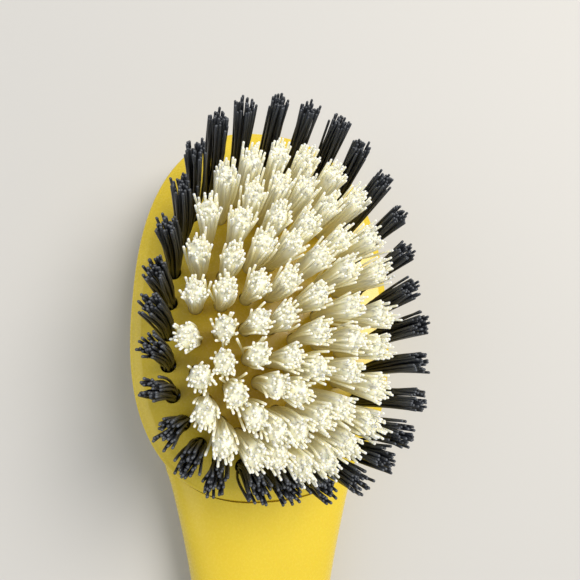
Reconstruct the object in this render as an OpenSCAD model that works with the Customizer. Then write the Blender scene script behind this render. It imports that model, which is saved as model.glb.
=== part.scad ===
// Oval hand brush in bee colours: a one-piece yellow handle, a yellow tuft plate let
// into its head, a ring of black tufts and three oval rings and a row of white tufts.
// Millimetres. X is across the head, +Y points to the head's tip, +Z is the way the
// bristles point. The brush lies on its back, and the origin is under its middle.

/* [Overall] */
// Length of the whole brush, from the head's tip to the handle's end
overall_l = 236; // [190:1:300]

/* [Tuft plate] */
// Width of the plate, which is the width of the head
plate_w = 59; // [46:0.5:72]
// Length of the plate
plate_l = 85; // [68:0.5:104]
// Height of the plate's edge above the surface that the brush lies on
rim_z = 17; // [14:0.5:24]
// Thickness of the plate at its edge
edge_t = 6; // [4.5:0.25:7]
// Depth of the spigot under the plate, which drops into the head
spigot_h = 3; // [2:0.25:4]
// Ledge round the spigot that the plate's edge rests on
ledge_w = 4; // [2.5:0.25:6]
// Width of the bevelled band round the plate
shoulder_w = 2.4; // [1.5:0.1:4]
// Rise of the bevelled band
shoulder_h = 0.7; // [0.3:0.1:1.5]
// Rise of the gently domed middle above the band
dome_h = 1.1; // [0:0.1:3]
// Squareness of the oval: 2 is an ellipse, and more is squarer
oval_n = 2.45; // [2:0.05:3]
// How much wider the oval is at its neck end, as a share of its half width
egg = 0.04; // [0:0.01:0.1]
// Gap round the spigot and under the plate
fit_gap = 0.1; // [0.05:0.05:0.3]

/* [Tufts] */
// Free length of a tuft above the plate
tuft_l = 23; // [12:0.5:34]
// Diameter of a tuft's root
root_d = 3; // [2:0.1:3.6]
// Gap round a root in its hole
root_gap = 0.05; // [0.02:0.01:0.1]
// Plastic left under the holes
hole_floor = 1.5; // [1:0.25:2.5]
// Gap between the spread tips of neighbouring tufts
tip_gap = 0.25; // [0.1:0.05:1]
// Largest diameter of a black tuft's tip
black_tip_d = 3.9; // [3.5:0.1:5]
// Largest diameter of a white tuft's tip
white_tip_d = 4.8; // [3.5:0.1:6]

/* [Rings] */
// Distance from the plate's edge to the middle of the black ring, at the sides
side_inset = 7.8; // [6:0.1:9]
// The same distance at the head's tip
front_inset = 12.7; // [8:0.1:14]
// The same distance at the neck end
neck_inset = 7; // [6:0.1:9]
// Squareness of the rings: 2 is an ellipse, and more is squarer
ring_n = 2.55; // [2:0.05:3]
// How much wider a ring is at its neck end, as a share of its half width
ring_egg = 0.05; // [0:0.01:0.1]
// Number of black tufts in the outer ring
black_count = 29; // [24:1:32]
// Number of white tufts in each ring, from the outside inwards
white_counts = [24, 20, 12];
// Number of white tufts in the middle row
row_count = 4; // [3:1:5]
// Spacing of the black tufts: 1 is even, and less stands them wider along the sides
black_even = 0.83; // [0.7:0.01:1]
// Spacing of the white tufts, in the same way
white_even = 0.66; // [0.6:0.01:1]
// How much closer the tufts stand at the neck end than halfway along
crowd = 0.13; // [0:0.01:0.15]
// Place of each ring's first tuft past the head's tip, as a share of the spacing
first_at = 0.33; // [0:0.01:1]

/* [Lean] */
// Outward lean of the black tufts at the sides, in degrees
side_lean = 4.5; // [0:0.5:6]
// Outward lean of the black tufts at the head's tip, in degrees
front_lean = 12.5; // [0:0.5:14]
// Outward lean of the black tufts at the neck end, in degrees
neck_lean = 1; // [0:0.5:6]
// Sideways lean that passes from the tip end to the neck end, in degrees
skew_lean = 6; // [0:0.5:7]
// Outward lean of the outermost white ring, in degrees
white_lean = 2.8; // [0:0.2:4]
// Lean of all the white tufts towards the neck, in degrees
white_back_lean = 2.8; // [0:0.2:3]

/* [Anchors] */
// Thickness of the flat wire that holds a tuft in its hole
wire_t = 0.4; // [0.3:0.05:0.5]
// Height of the flat wire
wire_h = 1.5; // [1:0.1:2]
// Height of the wire above the bottom of the hole
wire_z = 0.8; // [0.5:0.1:1.5]
// Gap between the wire and what it passes
wire_gap = 0.04; // [0.02:0.01:0.08]

/* [Handle] */
// Half width of the neck where it leaves the plate
neck_r = 19; // [15:0.5:22]
// Half width of the waist, the narrowest place
waist_r = 11.5; // [9:0.5:14]
// Distance from the plate to the waist
waist_at = 52; // [40:1:60]
// Half width of the grip at its fullest
grip_r = 13; // [10:0.5:16]
// Thickness of the grip
grip_t = 15; // [12:0.5:18]
// Thickness of the handle's end
end_t = 10; // [8:0.5:13]
// Depth trimmed off the handle's back, which leaves a flat strip to lie on
back_flat = 0.6; // [0.3:0.1:1]
// Rise of the head's underside at its tip
tip_rise = 6; // [3:0.5:8]

/* [Hang hole] */
// Diameter of the hang hole
hang_d = 8; // [5:0.5:11]
// Distance from the hole's middle to the handle's end
hang_at = 11.5; // [10:0.5:16]
// Bevel round both ends of the hang hole
hang_bevel = 1; // [0.5:0.25:1.5]

/* [Hidden] */
yellow = "#f2c318";
black = "#2b2b2b";
white = "#ece6d6";
steel = "#b9bcc0";

steps_round = 72;
loop_points = 44;
station_gap = 4;
dome_rings = 5;
over = 1;

a = plate_w / 2;
b = plate_l / 2;
head_y = overall_l / 2 - b;
seat_z = rim_z - edge_t;
pocket_z = seat_z - spigot_h;
crown_z = rim_z + shoulder_h + dome_h;
edge_round = 0.8;
end_y = -overall_l / 2 - head_y;
grip_y = end_y + 50;
waist_y = -b - waist_at;
end_round = 12;
tray_inset = 0.3;

ring_a = a - side_inset;
ring_front = b - front_inset;
ring_neck = b - neck_inset;
ring_half = (ring_front + ring_neck) / 2;
ring_mid = (ring_front - ring_neck) / 2;
ring_step = ring_a / (len(white_counts) + 1);
end_step = ring_half / (len(white_counts) + 3);
taper_power = 1.9;
join_power = 16;
root_r = root_d / 2;
hole_r = root_r + root_gap;
hole_bottom = pocket_z + fit_gap + hole_floor;
spread_start = 0.6;
spread_in = 0.2;
spread_l = tuft_l + spread_start;

function black_name(i) = str("black_tuft_", i < 10 ? "0" : "", i);

// Signed power, for superellipses
function spow(v, p) = sign(v) * pow(abs(v), p);

// Smooth step from 0 to 1 as y goes from lo to hi
function ease(y, lo, hi) =
    let (k = min(1, max(0, (y - lo) / (hi - lo))))
    k * k * (3 - 2 * k);

// One point of the plate's oval at angle t, drawn in from its edge by d
function oval_point(t, d = 0) =
    let (y = (b - d) * spow(sin(t), 2 / oval_n))
    [(a - d) * (1 - egg * y / b) * spow(cos(t), 2 / oval_n), y];

function oval(d = 0) = [for (i = [0:steps_round - 1]) oval_point(360 * i / steps_round, d)];

// Half width of the head at y
function head_r(y) =
    let (k = min(1, abs(y) / (b - tray_inset)))
    (a - tray_inset) * (1 - egg * y / b) * pow(1 - pow(k, oval_n), 1 / oval_n);

// Half width of the neck and grip at y
function neck_grip_r(y) =
    y > waist_y
        ? waist_r + (neck_r - waist_r) * pow((y - waist_y) / waist_at, taper_power)
        : waist_r + (grip_r - waist_r) * ease(-y, -waist_y, -grip_y);

// Half width of the whole handle at y: the wider of head and neck, with a soft join
function handle_r(y) =
    let (
        h = head_r(y),
        n = neck_grip_r(y) * (1 - ease(y, -b + 6, -b + 26)),
        e = end_factor(y)
    )
    e * pow(pow(h, join_power) + pow(n, join_power), 1 / join_power);

// Rounds off the handle's end
function end_factor(y) =
    let (k = max(0, end_y + end_round - y) / end_round)
    sqrt(max(0.0004, 1 - k * k));

function head_share(y) = ease(y, -b - 26, -b + 12);

// Height of the handle's top, its widest line and its underside at y
function top_z(y) =
    let (grip_top = end_t + (grip_t - end_t) * ease(y, end_y + 14, end_y + 50))
    grip_top + (rim_z - grip_top) * ease(y, -b - 58, -b - 2);
function wide_z(y) =
    let (low = top_z(y) * 0.48)
    low + (seat_z - low) * head_share(y);
function under_z(y) = tip_rise * pow(max(0, y / b - 0.5) * 2, 2.2);

// Cross-section of the handle at y: a superellipse with a flat on the back
function section(y) =
    let (
        r = handle_r(y),
        w = wide_z(y),
        u = under_z(y),
        e = pow(end_factor(y), 0.6),
        p = 2 / (2.4 + 0.8 * head_share(y)),
        up = (top_z(y) - w) * e,
        down = (w - u) * e + back_flat
    )
    [for (i = [0:loop_points - 1])
        let (
            t = 360 * (i + 0.5) / loop_points,
            z = w + (sin(t) > 0 ? up : down) * spow(sin(t), p)
        )
        [r * spow(cos(t), p), y, max(u, z)]
    ];

// Places along the handle: close together where the outline turns quickly
tip_ys = [for (t = [86:-6:2]) (b - tray_inset) * sin(t)];
end_ys = [for (t = [6:12:90]) end_y + end_round - end_round * sin(t) * 0.9998];
mid_steps = ceil((-end_y - end_round) / station_gap);
mid_ys = [for (i = [0:mid_steps]) (end_y + end_round) * i / mid_steps];
stations = concat(tip_ys, mid_ys, end_ys);

// Closed skin through a list of rings that each have n points
module skin(rings, n) {
    last = len(rings) - 1;
    polyhedron(
        points = [for (ring = rings) each ring],
        faces = concat(
            [[for (i = [0:n - 1]) i]],
            [for (k = [0:last - 1], i = [0:n - 1])
                let (j = (i + 1) % n)
                each [
                    [k * n + i, (k + 1) * n + i, k * n + j],
                    [k * n + j, (k + 1) * n + i, (k + 1) * n + j]
                ]
            ],
            [[for (i = [n - 1:-1:0]) last * n + i]]
        )
    );
}

// Moves a shape from the head's own middle to its place on the brush
module on_head() {
    translate([0, head_y, 0]) children();
}

module handle() {
    color(yellow) on_head() difference() {
        skin([for (y = stations) section(y)], loop_points);
        translate([0, 0, seat_z]) linear_extrude(rim_z) polygon(oval(-fit_gap));
        translate([0, 0, pocket_z]) linear_extrude(rim_z) polygon(oval(ledge_w));
        translate([0, end_y + hang_at, 0]) hang_hole();
    }
}

module hang_hole() {
    through = grip_t + 2 * over;
    translate([0, 0, -over]) cylinder(h = through, d = hang_d, $fn = 64);
    translate([0, 0, -over]) bevel_cone();
    translate([0, 0, end_t + over]) mirror([0, 0, 1]) bevel_cone();
}

module bevel_cone() {
    wide = hang_d / 2 + hang_bevel + over;
    cylinder(h = wide, r1 = wide, r2 = 0, $fn = 64);
}

// Height of the plate's surface where an oval drawn in by d passes
function plate_z(d) =
    let (k = 1 - (d - shoulder_w) / (a - shoulder_w))
    rim_z + shoulder_h + dome_h * (1 - k * k);

// How far the point (x, y) is drawn in from the plate's edge
function drawn_in(x, y) =
    a * (1 - pow(pow(abs(x) / (a * (1 - egg * y / b)), oval_n) + pow(abs(y) / b, oval_n), 1 / oval_n));

function lifted(points, z) = [for (p = points) [p[0], p[1], z]];

// Oval at share k of the inside of the bevelled band
function dome_ring(k) =
    let (edge = oval(shoulder_w))
    lifted([for (p = edge) p * k], rim_z + shoulder_h + dome_h * (1 - k * k));

module plate_body() {
    rings = concat(
        [for (i = [dome_rings:-1:0]) dome_ring(1 - i * 0.96 / dome_rings)],
        [
            lifted(oval(edge_round), rim_z),
            lifted(oval(edge_round * 0.3), rim_z - edge_round * 0.3),
            lifted(oval(0), rim_z - edge_round),
            lifted(oval(0), seat_z + fit_gap)
        ]
    );
    skin([for (ring = rings) [for (i = [steps_round - 1:-1:0]) ring[i]]], steps_round);
}

module tuft_plate() {
    color(yellow) on_head() difference() {
        union() {
            plate_body();
            translate([0, 0, pocket_z + fit_gap])
                linear_extrude(spigot_h + edge_t / 2) polygon(oval(ledge_w + fit_gap));
        }
        tuft_holes();
    }
}

// How far round and how far along a ring an angle lies: -1 to 1 in x and in y
function round_x(t) = spow(cos(t), 2 / ring_n);
function round_y(t) = spow(sin(t), 2 / ring_n);

// One point at angle t of the ring that lies k steps inside the black one
function ring_point(t, k) =
    let (side = (ring_a - k * ring_step) * (1 - ring_egg * round_y(t)))
    [side * round_x(t), ring_mid + (ring_half - k * end_step) * round_y(t)];

// Weight of the short way from angle t to the next: shorter ways hold fewer tufts
function way(t, k, even) =
    let (step = ring_point(t + 1, k) - ring_point(t, k))
    norm([step[0], even * step[1]]) * (1 - crowd * round_y(t + 0.5));

// Angles of a ring's tufts, counted from the tip end
function ring_angles(k, even, count) =
    let (
        table = [for (t = 90, s = 0; t <= 450; s = s + way(t, k, even), t = t + 1) [s, t]],
        total = table[len(table) - 1][0]
    )
    [for (i = [0:count - 1]) lookup(total * (i + first_at) / count, table)];

// A tuft's place, its largest tip radius, and its lean in degrees across and along
function seat(place, tip_r, lean) = [place[0], place[1], tip_r, lean[0], lean[1]];

function black_lean(t) = [
    round_x(t) * (side_lean - skew_lean * round_y(t)),
    (front_lean - neck_lean) / 2 + (front_lean + neck_lean) / 2 * round_y(t)
];
black_places = [for (t = ring_angles(0, black_even, black_count))
    seat(ring_point(t, 0), black_tip_d / 2, black_lean(t))
];

function white_places(i) =
    let (out = white_lean * (len(white_counts) - i) / len(white_counts))
    [for (t = ring_angles(i + 1, white_even, white_counts[i]))
        seat(ring_point(t, i + 1), white_tip_d / 2, [out * round_x(t), out * round_y(t) - white_back_lean])
    ];

row_half = ring_half - (len(white_counts) + 1) * end_step;
row_pitch = 2 * row_half / (row_count - 1);
row_places = [for (i = [0:row_count - 1])
    seat([0, ring_mid - row_half + i * row_pitch], white_tip_d / 2, [0, -white_back_lean])
];

all_places = concat(black_places, [for (i = [0:len(white_counts) - 1]) each white_places(i)], row_places);
function tip_of(s) = [s[0] + spread_l * sin(s[3]), s[1] + spread_l * sin(s[4])];
all_tips = [for (s = all_places) tip_of(s)];

// Tip radius that leaves the gap between this tuft and the nearest other one
function tip_r(s) =
    let (me = tip_of(s), near = min([for (tip = all_tips) if (norm(tip - me) > 0.01) norm(tip - me)]))
    max(root_r + root_gap, min(s[2], (near - tip_gap) / 2));
function seats(places) = [for (s = places) [s[0], s[1], tip_r(s), s[3], s[4]]];

black_seats = seats(black_places);
row_seats = seats(row_places);

// Puts a shape where a tuft passes through the plate's surface
module at_seat(s) {
    translate([s[0], s[1], plate_z(drawn_in(s[0], s[1]))]) children();
}

// Leans a shape as a tuft leans, about a point just inside its hole
module leaning(s) {
    away = atan2(s[4], s[3]);
    translate([0, 0, -spread_start])
        rotate([0, 0, away]) rotate([0, norm([s[3], s[4]]), 0]) rotate([0, 0, -away]) children();
}

// Depth of a hole below the surface
function hole_depth(s) = plate_z(drawn_in(s[0], s[1])) - hole_bottom;

module tuft_holes() {
    for (s = all_places) {
        at_seat(s) translate([0, 0, -hole_depth(s)])
            cylinder(h = hole_depth(s) + over, r = hole_r, $fn = 32);
    }
}

// A tuft folded over its anchor wire: an upright root, and a leaning part that spreads
module tuft(s) {
    root = hole_depth(s) - root_gap;
    at_seat(s) difference() {
        union() {
            translate([0, 0, -root]) cylinder(h = root, r = root_r, $fn = 32);
            leaning(s) cylinder(h = spread_l, r1 = root_r - spread_in, r2 = s[2], $fn = 32);
        }
        translate([-root_d, -wire_t / 2 - wire_gap, -hole_depth(s) + wire_z - wire_gap])
            cube([2 * root_d, wire_t + 2 * wire_gap, wire_h + 2 * wire_gap]);
    }
}

module tufts(row) {
    for (s = row) tuft(s);
}

// The flat wire driven into each hole, across the fold of its tuft
module anchors(row) {
    across = 2 * (hole_r - wire_gap);
    for (s = row) {
        at_seat(s) translate([-across / 2, -wire_t / 2, -hole_depth(s) + wire_z])
            cube([across, wire_t, wire_h]);
    }
}

module black_tuft(i) {
    color(black) on_head() tuft(black_seats[i - 1]);
}

module white_tufts_ring(i) {
    color(white) on_head() tufts(seats(white_places(i - 1)));
}

module white_tufts_row() {
    color(white) on_head() tufts(row_seats);
}

module black_anchors() {
    color(steel) on_head() anchors(black_seats);
}

module white_anchors_ring(i) {
    color(steel) on_head() anchors(seats(white_places(i - 1)));
}

module white_anchors_row() {
    color(steel) on_head() anchors(row_seats);
}

handle();
tuft_plate();
for (i = [1:black_count]) {
    black_tuft(i);
}
for (i = [1:len(white_counts)]) {
    white_tufts_ring(i);
}
white_tufts_row();
black_anchors();
for (i = [1:len(white_counts)]) {
    white_anchors_ring(i);
}
white_anchors_row();
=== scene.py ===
"""Looks of an oval hand brush in bee colours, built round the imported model.

The handle and the tuft plate are made again as smooth mouldings, and every tuft becomes a
bundle of cut filaments that stands in the hole its CAD solid stands in. All places are in
metres in the row's frame: +X across the head, +Y to its tip, +Z the way the bristles point.
"""

import logging
import math
import random
from dataclasses import dataclass, field
from enum import Enum
from typing import Iterable, Sequence

import bmesh
import bpy
from mathutils import Matrix, Vector


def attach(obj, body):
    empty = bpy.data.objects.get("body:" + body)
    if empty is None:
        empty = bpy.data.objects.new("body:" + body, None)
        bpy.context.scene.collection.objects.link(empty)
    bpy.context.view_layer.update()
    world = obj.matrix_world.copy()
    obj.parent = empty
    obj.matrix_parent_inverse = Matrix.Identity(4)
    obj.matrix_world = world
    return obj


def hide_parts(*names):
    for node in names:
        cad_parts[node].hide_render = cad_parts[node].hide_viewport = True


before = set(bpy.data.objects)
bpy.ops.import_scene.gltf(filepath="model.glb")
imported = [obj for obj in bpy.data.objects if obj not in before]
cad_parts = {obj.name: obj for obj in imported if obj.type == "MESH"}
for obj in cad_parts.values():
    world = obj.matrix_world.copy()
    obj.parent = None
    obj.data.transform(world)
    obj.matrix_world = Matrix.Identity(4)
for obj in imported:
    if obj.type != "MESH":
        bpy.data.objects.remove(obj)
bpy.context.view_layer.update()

MM = 0.001
BODY = "root"
HOLE_GAP = 0.05 * MM
HOLE_SIDES = 28
HANG_SIDES = 64
GOLDEN_ANGLE = math.radians(137.508)
log = logging.getLogger("brush")

Point = tuple[float, float, float]


def linear(code: str) -> tuple[float, float, float, float]:
    """Turn an sRGB hex colour into Blender's linear colour.

    Args:
        code: Six hex digits, with or without a leading #.

    Returns:
        Red, green, blue and an alpha of 1.
    """
    channels = [int(code.lstrip("#")[i : i + 2], 16) / 255 for i in (0, 2, 4)]
    turned = [c / 12.92 if c <= 0.04045 else ((c + 0.055) / 1.055) ** 2.4 for c in channels]
    return (turned[0], turned[1], turned[2], 1.0)


def add_node(
    tree: bpy.types.NodeTree,
    kind: str,
    inputs: dict | None = None,
    stops: Sequence[tuple[float, str]] = (),
    **settings: object,
) -> bpy.types.Node:
    """Add one shader node, with its settings, values, links and colour stops.

    Args:
        tree: The node tree to add to.
        kind: The node's type, such as ShaderNodeTexNoise.
        inputs: Socket name or number to a value, or to the output socket that feeds it.
        stops: Places from 0 to 1 with their sRGB hex colours, on a colour ramp.
        **settings: Attributes set on the node itself.

    Returns:
        The new node.
    """
    node = tree.nodes.new(kind)
    for name, value in settings.items():
        setattr(node, name, value)
    for key, value in (inputs or {}).items():
        socket = node.inputs[key]
        if isinstance(value, bpy.types.NodeSocket):
            tree.links.new(value, socket)
        else:
            socket.default_value = value
    for number, (place, code) in enumerate(stops):
        band = node.color_ramp.elements
        element = band[number] if number < 2 else band.new(place)
        element.position = place
        element.color = linear(code)
    return node


def new_material(name: str) -> tuple[bpy.types.Material, bpy.types.NodeTree]:
    """Make an empty node material.

    Args:
        name: The material's name.

    Returns:
        The material and its cleared node tree.
    """
    material = bpy.data.materials.new(name)
    material.use_nodes = True
    material.node_tree.nodes.clear()
    return material, material.node_tree


@dataclass(frozen=True)
class MouldedPolypropylene:
    """Yellow polypropylene, injection moulded in a polished tool.

    It is glossy but not mirror-like: the melt shrinks away from the steel, so highlights
    waver a little, and handling leaves hair-fine scuffs that break up the gloss.
    """

    name: str = "yellow_moulding"
    pigment: str = "#E3C838"
    deep_pigment: str = "#DFC231"
    gloss_roughness: float = 0.24
    ior: float = 1.49
    ripple_mm: float = 4.0
    scuff_mm: float = 0.6

    def make(self) -> bpy.types.Material:
        """Build the material.

        Returns:
            The finished material.
        """
        material, tree = new_material(self.name)
        place = add_node(tree, "ShaderNodeTexCoord").outputs["Object"]
        # Flow of the melt: a faint drift of the pigment over centimetres.
        drift = add_node(tree, "ShaderNodeTexNoise", {"Vector": place, "Scale": 1 / (22 * MM), "Detail": 2.0})
        colour = add_node(
            tree,
            "ShaderNodeValToRGB",
            {"Fac": drift.outputs["Fac"]},
            stops=((0.35, self.deep_pigment), (0.65, self.pigment)),
        )
        # Shrinkage ripple, a few millimetres across and a few microns deep.
        ripple = add_node(
            tree, "ShaderNodeTexNoise", {"Vector": place, "Scale": 1 / (self.ripple_mm * MM), "Detail": 1.0}
        )
        scuff = add_node(
            tree,
            "ShaderNodeTexNoise",
            {"Vector": place, "Scale": 1 / (self.scuff_mm * MM), "Detail": 4.0, "Roughness": 0.6},
        )
        height = add_node(
            tree,
            "ShaderNodeMath",
            {0: scuff.outputs["Fac"], 1: 0.12, 2: ripple.outputs["Fac"]},
            operation="MULTIPLY_ADD",
        )
        bump = add_node(
            tree, "ShaderNodeBump", {"Strength": 0.35, "Distance": 0.05 * MM, "Height": height.outputs[0]}
        )
        gloss = add_node(
            tree,
            "ShaderNodeMapRange",
            {
                "Value": scuff.outputs["Fac"],
                "From Min": 0.3,
                "From Max": 0.8,
                "To Min": self.gloss_roughness - 0.04,
                "To Max": self.gloss_roughness + 0.12,
            },
        )
        shader = add_node(
            tree,
            "ShaderNodeBsdfPrincipled",
            {
                "Base Color": colour.outputs["Color"],
                "Roughness": gloss.outputs["Result"],
                "IOR": self.ior,
                "Subsurface Weight": 0.08,
                "Subsurface Radius": (1.0, 0.7, 0.1),
                "Subsurface Scale": 1.2 * MM,
                "Normal": bump.outputs["Normal"],
            },
        )
        add_node(tree, "ShaderNodeOutputMaterial", {"Surface": shader.outputs[0]})
        return material


@dataclass(frozen=True)
class DrawnFilament:
    """Nylon filament, drawn through a die and cut across.

    Drawing leaves a smooth satin side, and each filament takes a slightly different shade
    from its neighbours. Its colour also changes from root to tip, and that change is painted
    light: painted shade at the roots deep in the tuft, a painted yellow reflection of the
    plate on pale roots, and a painted highlight on dark tips. Pale filament also carries
    light down inside it and lets it out along its sides. On top of that it is given a painted
    glow, a faint emission of its own colour that stands in for light bounced through the
    tufts: painted_glow is that strength.
    """

    name: str
    root: str
    shaft: str
    tip: str
    roughness: float
    glow: float
    shade_spread: float = 0.12
    ior: float = 1.53
    painted_glow: float = 0.0

    def make(self) -> bpy.types.Material:
        """Build the material from the mesh's along and shade attributes.

        Returns:
            The finished material.
        """
        material, tree = new_material(self.name)
        along = add_node(tree, "ShaderNodeAttribute", attribute_name="along").outputs["Fac"]
        shade = add_node(tree, "ShaderNodeAttribute", attribute_name="shade").outputs["Fac"]
        # Root to tip colours are painted light: painted shade and a painted yellow reflection of the plate at the
        # roots, a painted highlight on dark tips.
        colour = add_node(
            tree,
            "ShaderNodeValToRGB",
            {"Fac": along},
            stops=((0.0, self.root), (0.45, self.shaft), (1.0, self.tip)),
        )
        place = add_node(tree, "ShaderNodeTexCoord").outputs["Object"]
        grain = add_node(tree, "ShaderNodeTexNoise", {"Vector": place, "Scale": 1 / (0.9 * MM), "Detail": 2.0})
        value = add_node(
            tree,
            "ShaderNodeMapRange",
            {"Value": shade, "To Min": 1 - self.shade_spread, "To Max": 1 + self.shade_spread},
        )
        toned = add_node(
            tree, "ShaderNodeHueSaturation", {"Color": colour.outputs["Color"], "Value": value.outputs["Result"]}
        )
        bump = add_node(
            tree, "ShaderNodeBump", {"Strength": 0.25, "Distance": 0.02 * MM, "Height": grain.outputs["Fac"]}
        )
        shader = add_node(
            tree,
            "ShaderNodeBsdfPrincipled",
            {
                "Base Color": toned.outputs["Color"],
                "Roughness": self.roughness,
                "IOR": self.ior,
                "Subsurface Weight": self.glow,
                "Subsurface Radius": (1.0, 0.9, 0.65),
                "Subsurface Scale": 1.0 * MM,
                # Painted glow: emission in the filament's own colour, standing in for light bounced through the
                # tufts.
                "Emission Color": toned.outputs["Color"],
                "Emission Strength": self.painted_glow,
                "Normal": bump.outputs["Normal"],
            },
        )
        add_node(tree, "ShaderNodeOutputMaterial", {"Surface": shader.outputs[0]})
        return material


@dataclass(frozen=True)
class DrawnWire:
    """Flat steel wire, drawn and rolled: bright, with faint lines along its length."""

    name: str = "anchor_wire"
    metal: str = "#C3C5C8"
    groove: str = "#AEB1B5"
    roughness: float = 0.32

    def make(self) -> bpy.types.Material:
        """Build the material.

        Returns:
            The finished material.
        """
        material, tree = new_material(self.name)
        place = add_node(tree, "ShaderNodeTexCoord").outputs["Object"]
        lines = add_node(tree, "ShaderNodeTexNoise", {"Vector": place, "Scale": 1 / (0.3 * MM), "Detail": 3.0})
        colour = add_node(
            tree,
            "ShaderNodeValToRGB",
            {"Fac": lines.outputs["Fac"]},
            stops=((0.3, self.groove), (0.7, self.metal)),
        )
        bump = add_node(
            tree, "ShaderNodeBump", {"Strength": 0.3, "Distance": 0.02 * MM, "Height": lines.outputs["Fac"]}
        )
        shader = add_node(
            tree,
            "ShaderNodeBsdfPrincipled",
            {
                "Base Color": colour.outputs["Color"],
                "Metallic": 1.0,
                "Roughness": self.roughness,
                "Normal": bump.outputs["Normal"],
            },
        )
        add_node(tree, "ShaderNodeOutputMaterial", {"Surface": shader.outputs[0]})
        return material


@dataclass(frozen=True)
class PaleBackdrop:
    """Matte pale paper that the brush lies on."""

    name: str = "pale_paper"
    paper: str = "#C9C8C5"

    def make(self) -> bpy.types.Material:
        """Build the material.

        Returns:
            The finished material.
        """
        material, tree = new_material(self.name)
        place = add_node(tree, "ShaderNodeTexCoord").outputs["Object"]
        tooth = add_node(tree, "ShaderNodeTexNoise", {"Vector": place, "Scale": 1 / (1.5 * MM), "Detail": 3.0})
        bump = add_node(
            tree, "ShaderNodeBump", {"Strength": 0.1, "Distance": 0.05 * MM, "Height": tooth.outputs["Fac"]}
        )
        shader = add_node(
            tree,
            "ShaderNodeBsdfPrincipled",
            {"Base Color": linear(self.paper), "Roughness": 0.85, "Normal": bump.outputs["Normal"]},
        )
        add_node(tree, "ShaderNodeOutputMaterial", {"Surface": shader.outputs[0]})
        return material


class Bristle(Enum):
    """The two colours of bristle."""

    BLACK = "black"
    WHITE = "white"


def signed_power(value: float, power: float) -> float:
    """Raise a number to a power and keep its sign, as superellipses need."""
    return math.copysign(abs(value) ** power, value)


def ease(value: float, low: float, high: float) -> float:
    """Rise smoothly from 0 at low to 1 at high."""
    k = min(1.0, max(0.0, (value - low) / (high - low)))
    return k * k * (3 - 2 * k)


def make_piece(name: str, points: Sequence[Point], faces: Sequence[Sequence[int]]) -> bpy.types.Object:
    """Make a mesh object and link it to the scene.

    Args:
        name: The piece's name.
        points: Corner places in metres.
        faces: Corner numbers of each face.

    Returns:
        The new object.
    """
    mesh = bpy.data.meshes.new(name)
    mesh.from_pydata(points, [], faces)
    mesh.validate()
    piece = bpy.data.objects.new(name, mesh)
    bpy.context.scene.collection.objects.link(piece)
    return piece


def circle(x: float, y: float, z: float, radius: float, sides: int) -> list[Point]:
    """Draw a level circle.

    Args:
        x: Its middle across the brush.
        y: Its middle along the brush.
        z: Its height.
        radius: Its radius.
        sides: Points round it.

    Returns:
        The circle's points, anticlockwise from above.
    """
    turns = [math.tau * i / sides for i in range(sides)]
    return [(x + radius * math.cos(a), y + radius * math.sin(a), z) for a in turns]


def skin(rings: Sequence[Sequence[Point]]) -> tuple[list[Point], list[list[int]]]:
    """Close a skin of quads through rings that have equally many points.

    Args:
        rings: The rings, each a closed loop.

    Returns:
        Points and faces, with a flat face over each end.
    """
    count = len(rings[0])
    points = [p for ring in rings for p in ring]
    faces = [
        [k * count + i, k * count + (i + 1) % count, (k + 1) * count + (i + 1) % count, (k + 1) * count + i]
        for k in range(len(rings) - 1)
        for i in range(count)
    ]
    faces.append(list(range(count))[::-1])
    faces.append([(len(rings) - 1) * count + i for i in range(count)])
    return points, faces


def settle_normals(piece: bpy.types.Object) -> None:
    """Point every face outwards."""
    work = bmesh.new()
    work.from_mesh(piece.data)
    bmesh.ops.recalc_face_normals(work, faces=work.faces)
    work.to_mesh(piece.data)
    work.free()


def carve(piece: bpy.types.Object, cutter: bpy.types.Object) -> None:
    """Cut one mesh out of another, and remove the cutter.

    Args:
        piece: The mesh that is cut.
        cutter: The mesh that is taken away.
    """
    settle_normals(cutter)
    cut = piece.modifiers.new("cut", "BOOLEAN")
    cut.object = cutter
    cut.operation = "DIFFERENCE"
    cut.solver = "EXACT"
    bpy.context.view_layer.update()
    finished = bpy.data.meshes.new_from_object(piece.evaluated_get(bpy.context.evaluated_depsgraph_get()))
    piece.modifiers.clear()
    old = piece.data
    piece.data = finished
    bpy.data.meshes.remove(old)
    bpy.data.objects.remove(cutter)


def smooth(piece: bpy.types.Object, crease_degrees: float = 32.0) -> None:
    """Shade a piece smoothly, apart from its real edges.

    Args:
        piece: The piece to shade.
        crease_degrees: Edges sharper than this stay crisp.
    """
    piece.data.shade_smooth()
    piece.data.set_sharp_from_angle(angle=math.radians(crease_degrees))
    weighted = piece.modifiers.new("even_shading", "WEIGHTED_NORMAL")
    weighted.keep_sharp = True
    weighted.weight = 80


def dress(piece: bpy.types.Object, materials: Iterable[bpy.types.Material], slot: str, *nodes: str) -> None:
    """Give a piece its materials and its body, and hide the CAD nodes that it stands for.

    Args:
        piece: The finished piece.
        materials: Its materials, in the order of its faces' numbers.
        slot: The record's material slot; not used.
        *nodes: The CAD nodes that it stands for.
    """
    piece.data.materials.clear()
    for material in materials:
        piece.data.materials.append(material)
    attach(piece, BODY)
    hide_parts(*nodes)
    log.info("%s: %d faces, stands for %s", piece.name, len(piece.data.polygons), ", ".join(nodes))


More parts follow.
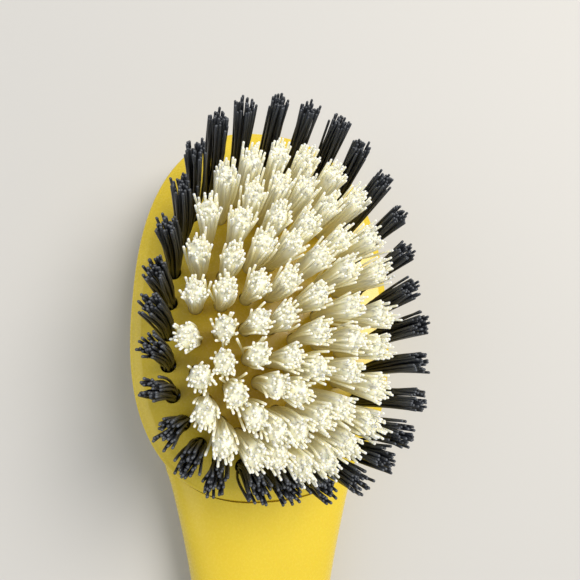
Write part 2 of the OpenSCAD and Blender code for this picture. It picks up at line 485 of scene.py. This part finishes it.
@dataclass
class HeadOval:
    """The oval outline that the head, its pocket and its plate share."""

    half_w: float = 29.5 * MM
    half_l: float = 42.5 * MM
    squareness: float = 2.45
    egg: float = 0.04
    middle_y: float = 75.5 * MM
    rim_z: float = 17.0 * MM
    edge_t: float = 6.0 * MM

    @property
    def seat_z(self) -> float:
        """Height of the ledge that the plate's edge rests on."""
        return self.rim_z - self.edge_t

    def ring(self, inset: float, z: float, count: int = 240, share: float = 1.0) -> list[Point]:
        """Draw the oval at a height.

        Args:
            inset: Distance drawn in from the outline.
            z: Height of the ring.
            count: Points round it.
            share: Size of the ring, as a share of the drawn-in oval.

        Returns:
            The ring's points, anticlockwise from above.
        """
        power = 2 / self.squareness
        points = []
        for i in range(count):
            t = 2 * math.pi * i / count
            y = (self.half_l - inset) * signed_power(math.sin(t), power)
            x = (self.half_w - inset) * (1 - self.egg * y / self.half_l) * signed_power(math.cos(t), power)
            points.append((x * share, y * share + self.middle_y, z))
        return points

    def prism(self, name: str, inset: float, low: float, high: float) -> bpy.types.Object:
        """Make an upright block of the oval, for cutting.

        Args:
            name: The block's name.
            inset: Distance drawn in from the outline.
            low: Height of its underside.
            high: Height of its top.

        Returns:
            The block.
        """
        return make_piece(name, *skin([self.ring(inset, low), self.ring(inset, high)]))


@dataclass
class HandleMoulding:
    """The handle: head, neck and grip in one yellow moulding, with its hang hole."""

    oval: HeadOval
    end_y: float = -118.0 * MM
    tray_inset: float = 0.3 * MM
    neck_r: float = 19.0 * MM
    waist_r: float = 11.5 * MM
    waist_at: float = 52.0 * MM
    grip_r: float = 13.0 * MM
    grip_t: float = 15.0 * MM
    end_t: float = 10.0 * MM
    end_round: float = 12.0 * MM
    back_flat: float = 0.6 * MM
    tip_rise: float = 6.0 * MM
    fit_gap: float = 0.1 * MM
    spigot_h: float = 3.0 * MM
    ledge_w: float = 4.0 * MM
    hang_r: float = 4.0 * MM
    hang_at: float = 11.5 * MM
    hang_bevel: float = 1.0 * MM
    taper_power: float = 1.9
    join_power: float = 16.0
    loop_points: int = 128

    def local(self, y: float) -> float:
        """Give a place along the handle from the head's own middle."""
        return y - self.oval.middle_y

    def end_factor(self, y: float) -> float:
        """Round off the handle's end, as a share of the width there."""
        k = max(0.0, self.end_y + self.end_round - y) / self.end_round
        return math.sqrt(max(0.0004, 1 - k * k))

    def half_width(self, y: float) -> float:
        """Work out the handle's half width, with a soft join of head and neck.

        Args:
            y: The place along the handle.

        Returns:
            The half width there.
        """
        o, v = self.oval, self.local(y)
        k = min(1.0, abs(v) / (o.half_l - self.tray_inset))
        head = (o.half_w - self.tray_inset) * (1 - o.egg * v / o.half_l)
        head *= (1 - k**o.squareness) ** (1 / o.squareness)
        waist = -o.half_l - self.waist_at
        if v > waist:
            neck = self.waist_r + (self.neck_r - self.waist_r) * ((v - waist) / self.waist_at) ** self.taper_power
        else:
            fullest = self.local(self.end_y) + 50 * MM
            neck = self.waist_r + (self.grip_r - self.waist_r) * ease(-v, -waist, -fullest)
        neck *= 1 - ease(v, -o.half_l + 6 * MM, -o.half_l + 26 * MM)
        wider = max(head, neck)
        joined = ((head / wider) ** self.join_power + (neck / wider) ** self.join_power) ** (1 / self.join_power)
        return self.end_factor(y) * wider * joined

    def heights(self, y: float) -> tuple[float, float, float, float]:
        """Work out the section's heights.

        Args:
            y: The place along the handle.

        Returns:
            Top, widest line and underside, and how far the section belongs to the head.
        """
        o, v = self.oval, self.local(y)
        end = self.local(self.end_y)
        grip_top = self.end_t + (self.grip_t - self.end_t) * ease(v, end + 14 * MM, end + 50 * MM)
        top = grip_top + (o.rim_z - grip_top) * ease(v, -o.half_l - 58 * MM, -o.half_l - 2 * MM)
        share = ease(v, -o.half_l - 26 * MM, -o.half_l + 12 * MM)
        low = top * 0.48
        wide = low + (o.seat_z - low) * share
        under = self.tip_rise * (max(0.0, v / o.half_l - 0.5) * 2) ** 2.2
        return top, wide, under, share

    def section(self, y: float) -> list[Point]:
        """Draw the handle's cross-section.

        Args:
            y: The place along the handle.

        Returns:
            The loop's points.
        """
        top, wide, under, share = self.heights(y)
        radius = self.half_width(y)
        closing = self.end_factor(y) ** 0.6
        power = 2 / (2.4 + 0.8 * share)
        points = []
        for i in range(self.loop_points):
            t = 2 * math.pi * (i + 0.5) / self.loop_points
            reach = (top - wide) * closing if math.sin(t) > 0 else (wide - under) * closing + self.back_flat
            z = wide + reach * signed_power(math.sin(t), power)
            points.append((radius * signed_power(math.cos(t), power), y, max(under, z)))
        return points

    def stations(self) -> list[float]:
        """List the places of the sections, closest where the outline turns quickest."""
        o = self.oval
        angles = [89.3, 88.3, 87, 85.5, 84, *range(81, 0, -3)]
        tip = [o.middle_y + (o.half_l - self.tray_inset) * math.sin(math.radians(t)) for t in angles]
        start, stop = o.middle_y, self.end_y + self.end_round
        steps = math.ceil((start - stop) / (1.5 * MM))
        middle = [start + (stop - start) * i / steps for i in range(steps + 1)]
        end = [stop - self.end_round * math.sin(math.radians(t)) * 0.9998 for t in range(5, 91, 5)]
        return tip + middle + end

    def hang_cutter(self) -> bpy.types.Object:
        """Make the hang hole's cutter: a bore that flares in a rounded rim at both faces."""
        flare = 1.3 * self.hang_bevel
        profile: list[tuple[float, float]] = [(-1 * MM, self.hang_r + flare)]
        for t in range(0, 91, 15):
            a = math.radians(t)
            profile.append((flare * (1 - math.cos(a)), self.hang_r + flare * (1 - math.sin(a))))
        upper = [(self.end_t - z, r) for z, r in reversed(profile)]
        middle_y = self.end_y + self.hang_at
        rings = [circle(0.0, middle_y, z, r, HANG_SIDES) for z, r in profile + upper]
        return make_piece("hang_cutter", *skin(rings))

    def build(self, finish: bpy.types.Material) -> bpy.types.Object:
        """Loft the handle, cut the plate's pocket and the hang hole, and dress it.

        Args:
            finish: The yellow plastic.

        Returns:
            The handle.
        """
        piece = make_piece("handle_moulding", *skin([self.section(y) for y in self.stations()]))
        settle_normals(piece)
        o = self.oval
        carve(piece, o.prism("pocket_cutter", -self.fit_gap, o.seat_z, o.rim_z + 10 * MM))
        carve(piece, o.prism("spigot_cutter", self.ledge_w, o.seat_z - self.spigot_h, o.rim_z + 10 * MM))
        carve(piece, self.hang_cutter())
        smooth(piece)
        dress(piece, [finish], "handle", "handle")
        return piece


@dataclass(frozen=True)
class TuftAxis:
    """Where one tuft stands, measured from its CAD solid."""

    root: Vector
    mouth: Vector
    tip: Vector
    root_r: float
    tip_r: float

    @property
    def way(self) -> Vector:
        """The way the free part of the tuft points."""
        return (self.tip - self.mouth).normalized()


def solids_of(node: str) -> list[list[Vector]]:
    """Split a CAD node's mesh into the corner points of its separate solids.

    Args:
        node: The CAD node's name.

    Returns:
        One list of points for each solid.
    """
    work = bmesh.new()
    work.from_mesh(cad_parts[node].data)
    bmesh.ops.remove_doubles(work, verts=work.verts, dist=0.001 * MM)
    unseen = set(work.verts)
    groups = []
    while unseen:
        todo, group = [unseen.pop()], []
        while todo:
            corner = todo.pop()
            group.append(corner.co.copy())
            for edge in corner.link_edges:
                other = edge.other_vert(corner)
                if other in unseen:
                    unseen.remove(other)
                    todo.append(other)
        groups.append(group)
    work.free()
    return sorted(
        groups,
        key=lambda g: (round(sum(p.y for p in g) / len(g), 5), round(sum(p.x for p in g) / len(g), 5)),
    )


def mean(points: Sequence[Vector]) -> Vector:
    """Give the middle of some points."""
    return sum(points, Vector()) / len(points)


def measure_tuft(points: Sequence[Vector]) -> TuftAxis:
    """Find a tuft's axis and radii from the circles of its solid.

    Args:
        points: The solid's corner points.

    Returns:
        The tuft's axis.
    """
    low = min(p.z for p in points)
    high = max(p.z for p in points)
    base = [p for p in points if p.z < low + 0.05 * MM]
    root = mean(base)
    root_r = max((p - root).length for p in base)
    side = [p.z for p in points if abs((p - root).to_2d().length - root_r) < 0.01 * MM]
    rims = [z for z in side if sum(abs(z - other) < 0.005 * MM for other in side) >= 8]
    mouth = Vector((root.x, root.y, max(rims)))
    top = [p for p in points if p.z > high - 2 * MM]
    for slack in (0.7 * MM, 0.35 * MM, 0.15 * MM, 0.05 * MM, 0.05 * MM):
        way = (mean(top) - mouth).normalized()
        reach = [p.dot(way) for p in points]
        top = [p for p, r in zip(points, reach) if r > max(reach) - slack]
    tip = mean(top)
    return TuftAxis(root, mouth, tip, root_r, max((p - tip).length for p in top))


def tufts_of(node: str) -> list[TuftAxis]:
    """Measure every tuft of a CAD node."""
    return [measure_tuft(points) for points in solids_of(node)]


@dataclass
class TuftPlate:
    """The domed plate, with a bevelled band round it and a hole for each tuft."""

    oval: HeadOval
    tufts: Sequence[TuftAxis]
    shoulder_w: float = 2.4 * MM
    shoulder_h: float = 0.7 * MM
    dome_h: float = 1.1 * MM
    edge_round: float = 0.8 * MM
    spigot_h: float = 3.0 * MM
    ledge_w: float = 4.0 * MM
    fit_gap: float = 0.1 * MM
    rim_bevel: float = 0.1 * MM

    def profile(self) -> list[tuple[float, float, float]]:
        """List the plate's rings from its middle outwards and down, as inset, height and share."""
        o = self.oval
        crown = o.rim_z + self.shoulder_h
        shares = (0.02, 0.1, 0.2, 0.3, 0.4, 0.5, 0.6, 0.7, 0.8, 0.88, 0.94, 0.98)
        rings = [(self.shoulder_w, crown + self.dome_h * (1 - k * k), k) for k in shares]
        rings.append((self.shoulder_w, crown, 1.0))
        for k in (0.9, 0.7, 0.5, 0.3, 0.15):
            inset = self.edge_round + (self.shoulder_w - self.edge_round) * k
            rings.append((inset, o.rim_z + self.shoulder_h * (1 - (1 - k) ** 1.6), 1.0))
        for t in range(0, 91, 15):
            turn = math.radians(t)
            rings.append(
                (self.edge_round * (1 - math.sin(turn)), o.rim_z - self.edge_round * (1 - math.cos(turn)), 1.0)
            )
        rings.append((0.0, o.seat_z + 0.4 * MM, 1.0))
        rings.append((0.2 * MM, o.seat_z + self.fit_gap, 1.0))
        rings.append((self.ledge_w + self.fit_gap, o.seat_z + self.fit_gap, 1.0))
        rings.append((self.ledge_w + self.fit_gap, o.seat_z - self.spigot_h + self.fit_gap, 1.0))
        return rings

    def hole_cutter(self) -> bpy.types.Object:
        """Make the cutter for all the holes, each with a fine bevel at its mouth."""
        points: list[Point] = []
        faces: list[list[int]] = []
        for tuft in self.tufts:
            hole_r = tuft.root_r + HOLE_GAP
            flared_r = hole_r + self.rim_bevel * 1.7
            levels = [
                (tuft.root.z - HOLE_GAP, hole_r),
                (tuft.mouth.z - 0.35 * MM, hole_r),
                (tuft.mouth.z + 0.25 * MM, flared_r),
                (tuft.mouth.z + 1.2 * MM, flared_r),
            ]
            rings = [circle(tuft.mouth.x, tuft.mouth.y, z, r, HOLE_SIDES) for z, r in levels]
            ring_points, ring_faces = skin(rings)
            faces += [[len(points) + i for i in face] for face in ring_faces]
            points += ring_points
        return make_piece("hole_cutter", points, faces)

    def build(self, finish: bpy.types.Material) -> bpy.types.Object:
        """Turn the profile round the oval, drill the holes and dress the plate.

        Args:
            finish: The yellow plastic.

        Returns:
            The plate.
        """
        rings = [self.oval.ring(inset, z, 200, share) for inset, z, share in self.profile()]
        piece = make_piece("tuft_plate_moulding", *skin(rings))
        settle_normals(piece)
        carve(piece, self.hole_cutter())
        smooth(piece, 38.0)
        dress(piece, [finish], "plate", "tuft_plate")
        return piece


@dataclass(frozen=True)
class FilamentSpec:
    """How the filaments of one colour are made and how they spread."""

    count: int
    radius: float
    tip_x: float
    tip_y: float
    tip_shuffle: float
    height_jitter: float
    wander: float
    bow: float
    stray_share: float
    stray_reach: float
    bend: float = 0.0
    core_share: float = 0.0
    core_top: float = 0.0


@dataclass
class TuftBundle:
    """Makes the filaments of one or more tufts into one piece."""

    name: str
    node: str
    tufts: Sequence[TuftAxis]
    spec: FilamentSpec
    seed: int
    head_y: float = HeadOval.middle_y
    sides: int = 7
    core_sides: int = 24
    steps: tuple[float, ...] = (-0.12, 0.0, 0.2, 0.42, 0.64, 0.84, 1.0)

    points: list[Point] = field(default_factory=list)
    faces: list[list[int]] = field(default_factory=list)
    along: list[float] = field(default_factory=list)
    shade: list[float] = field(default_factory=list)
    ends: list[int] = field(default_factory=list)

    def add_filament(self, tuft: TuftAxis, shift: Vector, bend: Vector, k: int, draw: random.Random) -> None:
        """Add one filament from inside the hole to its cut end.

        Args:
            tuft: The tuft that it belongs to.
            shift: How far the whole tuft's tip stands from its axis.
            bend: How far the whole tuft is bent aside halfway up.
            k: The filament's number in the tuft.
            draw: The seeded source of random numbers.
        """
        spec = self.spec
        across = tuft.way.cross(Vector((0, 1, 0))).normalized()
        other = tuft.way.cross(across)
        rho = math.sqrt((k + 0.5) / spec.count)
        turn = k * GOLDEN_ANGLE + draw.uniform(-0.25, 0.25)
        start = (across * math.cos(turn) + other * math.sin(turn)) * rho * (tuft.root_r - spec.radius)
        finish = (across * math.cos(turn) * spec.tip_x + other * math.sin(turn) * spec.tip_y) * rho + shift
        finish += (across * draw.gauss(0, 1) + other * draw.gauss(0, 1)) * spec.wander
        if draw.random() < spec.stray_share:
            away = draw.uniform(0, math.tau)
            finish += (across * math.cos(away) + other * math.sin(away)) * draw.uniform(0.3, 1.0) * spec.stray_reach
        bow = (across * draw.gauss(0, 1) + other * draw.gauss(0, 1)) * spec.bow + bend
        free = (tuft.tip - tuft.mouth).length - abs(draw.gauss(0, 1)) * spec.height_jitter
        first = len(self.points)
        tone = draw.random()
        for s in self.steps:
            grow = max(0.0, s)
            climb = tuft.way if s > 0 else Vector((0, 0, 1))
            middle = tuft.mouth + climb * free * s + start.lerp(finish, grow) + bow * math.sin(math.pi * grow)
            for i in range(self.sides):
                a = math.tau * i / self.sides
                self.points.append(tuple(middle + (across * math.cos(a) + other * math.sin(a)) * spec.radius))
                self.along.append(grow)
                self.shade.append(tone)
        middle += tuft.way * spec.radius * 0.4
        for i in range(self.sides):
            a = math.tau * i / self.sides
            self.points.append(tuple(middle + (across * math.cos(a) + other * math.sin(a)) * spec.radius * 0.7))
            self.along.append(1.0)
            self.shade.append(tone)
        for level in range(len(self.steps)):
            for i in range(self.sides):
                j = (i + 1) % self.sides
                a, b = first + level * self.sides, first + (level + 1) * self.sides
                self.faces.append([a + i, a + j, b + j, b + i])
        last = first + len(self.steps) * self.sides
        self.ends.append(len(self.faces))
        self.faces.append([last + i for i in range(self.sides)])
        self.faces.append([first + i for i in range(self.sides)][::-1])

    def add_core(self, tuft: TuftAxis, shift: Vector, bend: Vector) -> None:
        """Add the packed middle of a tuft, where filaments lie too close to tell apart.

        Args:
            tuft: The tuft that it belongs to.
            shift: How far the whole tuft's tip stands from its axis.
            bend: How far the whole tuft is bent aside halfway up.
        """
        spec = self.spec
        across = tuft.way.cross(Vector((0, 1, 0))).normalized()
        other = tuft.way.cross(across)
        free = (tuft.tip - tuft.mouth).length
        top = spec.core_top
        levels = [(-0.1, 1.0), (0.0, 1.0), (top * 0.35, 1.0), (top * 0.7, 1.0), (top * 0.94, 1.0), (top, 0.8)]
        levels += [(top + 0.015, 0.5), (top + 0.02, 0.15)]
        first = len(self.points)
        points = self.core_sides
        for s, share in levels:
            grow = max(0.0, s)
            wide = (tuft.root_r * (1 - grow) + spec.tip_x * grow) * spec.core_share * share
            deep = (tuft.root_r * (1 - grow) + spec.tip_y * grow) * spec.core_share * share
            climb = tuft.way if s > 0 else Vector((0, 0, 1))
            middle = tuft.mouth + climb * free * s + shift * grow + bend * math.sin(math.pi * grow)
            for i in range(points):
                a = math.tau * i / points
                flute = 1 + 0.05 * (-1) ** i
                self.points.append(tuple(middle + (across * math.cos(a) * wide + other * math.sin(a) * deep) * flute))
                self.along.append(grow)
                self.shade.append(0.5)
        for level in range(len(levels) - 1):
            for i in range(points):
                j = (i + 1) % points
                a, b = first + level * points, first + (level + 1) * points
                self.faces.append([a + i, a + j, b + j, b + i])
        self.faces.append([first + (len(levels) - 1) * points + i for i in range(points)])
        self.faces.append([first + i for i in range(points)][::-1])

    def build(self, side: bpy.types.Material, cut: bpy.types.Material, slot: str) -> bpy.types.Object:
        """Make the piece, with its cut ends in their own material.

        Args:
            side: The material of the filaments' sides.
            cut: The material of their cut ends.
            slot: The record's material slot.

        Returns:
            The piece.
        """
        draw = random.Random(self.seed)
        for tuft in self.tufts:
            shift = Vector((draw.gauss(0, 1), draw.gauss(0, 1), 0)) * self.spec.tip_shuffle
            out = Vector((tuft.mouth.x, tuft.mouth.y - self.head_y, 0)).normalized()
            bend = -out * self.spec.bend * draw.uniform(0.5, 1.3)
            if self.spec.core_share:
                self.add_core(tuft, shift, bend)
            for k in range(self.spec.count):
                self.add_filament(tuft, shift, bend, k, draw)
        piece = make_piece(self.name, self.points, self.faces)
        mesh = piece.data
        for name, values in (("along", self.along), ("shade", self.shade)):
            layer = mesh.attributes.new(name, "FLOAT", "POINT")
            layer.data.foreach_set("value", values)
        dress(piece, [side, cut], slot, self.node)
        ends = set(self.ends)
        for face in mesh.polygons:
            face.use_smooth = face.index not in ends
            face.material_index = 1 if face.index in ends else 0
        mesh.set_sharp_from_angle(angle=math.radians(60))
        return piece


@dataclass
class BristleField:
    """All the tufts: the black ring and the white rings and row."""

    black_side: bpy.types.Material
    black_cut: bpy.types.Material
    white_side: bpy.types.Material
    white_cut: bpy.types.Material
    black_spec: FilamentSpec = FilamentSpec(
        count=30,
        radius=0.26 * MM,
        tip_x=1.95 * MM,
        tip_y=2.1 * MM,
        tip_shuffle=0.4 * MM,
        height_jitter=0.75 * MM,
        wander=0.22 * MM,
        bow=0.28 * MM,
        stray_share=0.08,
        stray_reach=1.3 * MM,
        bend=0.5 * MM,
    )
    white_spec: FilamentSpec = FilamentSpec(
        count=44,
        radius=0.225 * MM,
        tip_x=2.2 * MM,
        tip_y=2.7 * MM,
        tip_shuffle=0.4 * MM,
        height_jitter=1.2 * MM,
        wander=0.28 * MM,
        bow=0.25 * MM,
        stray_share=0.04,
        stray_reach=2.4 * MM,
        bend=0.3 * MM,
        core_share=0.86,
        core_top=0.91,
    )

    def nodes(self, colour: Bristle) -> list[str]:
        """List the CAD nodes of one colour's tufts, in order."""
        start = {Bristle.BLACK: "black_tuft_", Bristle.WHITE: "white_tufts_"}[colour]
        return sorted(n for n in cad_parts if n.startswith(start))

    def build(self) -> None:
        """Make every tuft's filaments."""
        for i, node in enumerate(self.nodes(Bristle.BLACK)):
            bundle = TuftBundle(f"{node}_filaments", node, tufts_of(node), self.black_spec, seed=100 + i)
            bundle.build(self.black_side, self.black_cut, "black_bristle")
        for i, node in enumerate(self.nodes(Bristle.WHITE)):
            bundle = TuftBundle(f"{node}_filaments", node, tufts_of(node), self.white_spec, seed=500 + i)
            bundle.build(self.white_side, self.white_cut, "white_bristle")

    def all_tufts(self) -> list[TuftAxis]:
        """Measure every tuft, for the plate's holes."""
        return [t for colour in Bristle for node in self.nodes(colour) for t in tufts_of(node)]


@dataclass
class Studio:
    """Pale floor, soft lights and the camera."""

    head: Vector
    eye: Point = (-18.4 * MM, -19.6 * MM, 95.4 * MM)

    def area(self, name: str, at: Point, size: float, power: float, colour: str, target: Vector) -> None:
        """Hang one soft lamp.

        Args:
            name: The lamp's name.
            at: Its place from the head.
            size: Its side in metres.
            power: Its power in watts.
            colour: Its colour as sRGB hex.
            target: What it points at.
        """
        lamp = bpy.data.lights.new(name, "AREA")
        lamp.shape = "DISK"
        lamp.size = size
        lamp.energy = power
        lamp.color = linear(colour)[:3]
        holder = bpy.data.objects.new(name, lamp)
        holder.location = self.head + Vector(at)
        holder.rotation_euler = (target - holder.location).to_track_quat("-Z", "Y").to_euler()
        bpy.context.scene.collection.objects.link(holder)

    def build(self) -> None:
        """Set the floor, the lamps, the sky and the camera."""
        half = 3.0
        corners = [(-half, -half, 0), (half, -half, 0), (half, half, 0), (-half, half, 0)]
        floor = make_piece("floor", corners, [[0, 1, 2, 3]])
        floor.location.z = -0.2 * MM
        floor.data.materials.append(PaleBackdrop().make())
        self.area("key_lamp", (0.34, 0.2, 0.7), 0.5, 6.3, "#FFF8EE", self.head)
        self.area("fill_lamp", (-0.7, -0.1, 0.6), 0.9, 2.0, "#F2F5FF", self.head)
        bpy.context.scene.view_settings.view_transform = "Standard"
        world = bpy.data.worlds.new("soft_room")
        world.use_nodes = True
        back = world.node_tree.nodes["Background"]
        back.inputs["Color"].default_value = linear("#E8ECF0")
        back.inputs["Strength"].default_value = 0.52
        bpy.context.scene.world = world
        self.camera()

    def camera(self) -> None:
        """Place the camera close above the bristles, leaning a little to the left."""
        lens = bpy.data.cameras.new("camera")
        lens.sensor_width = 36.0
        lens.lens = 27.2
        lens.clip_start = 0.005
        eye = self.head + Vector(self.eye)
        forward = Vector((0.231, 0.219, -0.948)).normalized()
        up = Vector((-0.034, 0.976, 0.217))
        right = forward.cross(up).normalized()
        up = right.cross(forward)
        holder = bpy.data.objects.new("camera", lens)
        turn = Matrix((right, up, -forward)).transposed()
        holder.matrix_world = Matrix.Translation(eye) @ turn.to_4x4()
        bpy.context.scene.collection.objects.link(holder)
        bpy.context.scene.camera = holder


def main() -> None:
    """Build the handle, the plate, the tufts and the studio, in that order."""
    logging.basicConfig(level=logging.INFO, format="%(message)s")
    yellow = MouldedPolypropylene().make()
    oval = HeadOval()
    HandleMoulding(oval).build(yellow)
    bristles = BristleField(
        # Black filament: the darker root is painted shade and the lighter grey tip is a painted highlight.
        black_side=DrawnFilament("black_filament", "#08080A", "#101013", "#383B41", 0.4, 0.0, 0.35).make(),
        # Black cut ends: their lighter grey is a painted highlight on the cut faces.
        black_cut=DrawnFilament("black_cut_end", "#484C52", "#484C52", "#484C52", 0.5, 0.0, 0.4).make(),
        # White filament and cut ends: the yellow root is a painted reflection of the plate, and painted_glow adds a
        # painted glow.
        white_side=DrawnFilament(
            "white_filament", "#E6D68C", "#F3E8B8", "#F9F6E0", 0.42, 0.9, 0.04, painted_glow=0.05
        ).make(),
        white_cut=DrawnFilament(
            "white_cut_end", "#FAF7E4", "#FAF7E4", "#FAF7E4", 0.55, 0.9, 0.04, painted_glow=0.05
        ).make(),
    )
    TuftPlate(oval, bristles.all_tufts()).build(yellow)
    bristles.build()
    wire = DrawnWire().make()
    for name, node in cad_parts.items():
        if "anchors" in name:
            node.data.materials.clear()
            node.data.materials.append(wire)
    Studio(Vector((0, oval.middle_y, oval.rim_z + 1.2 * MM))).build()


if __name__ == "__main__":
    main()
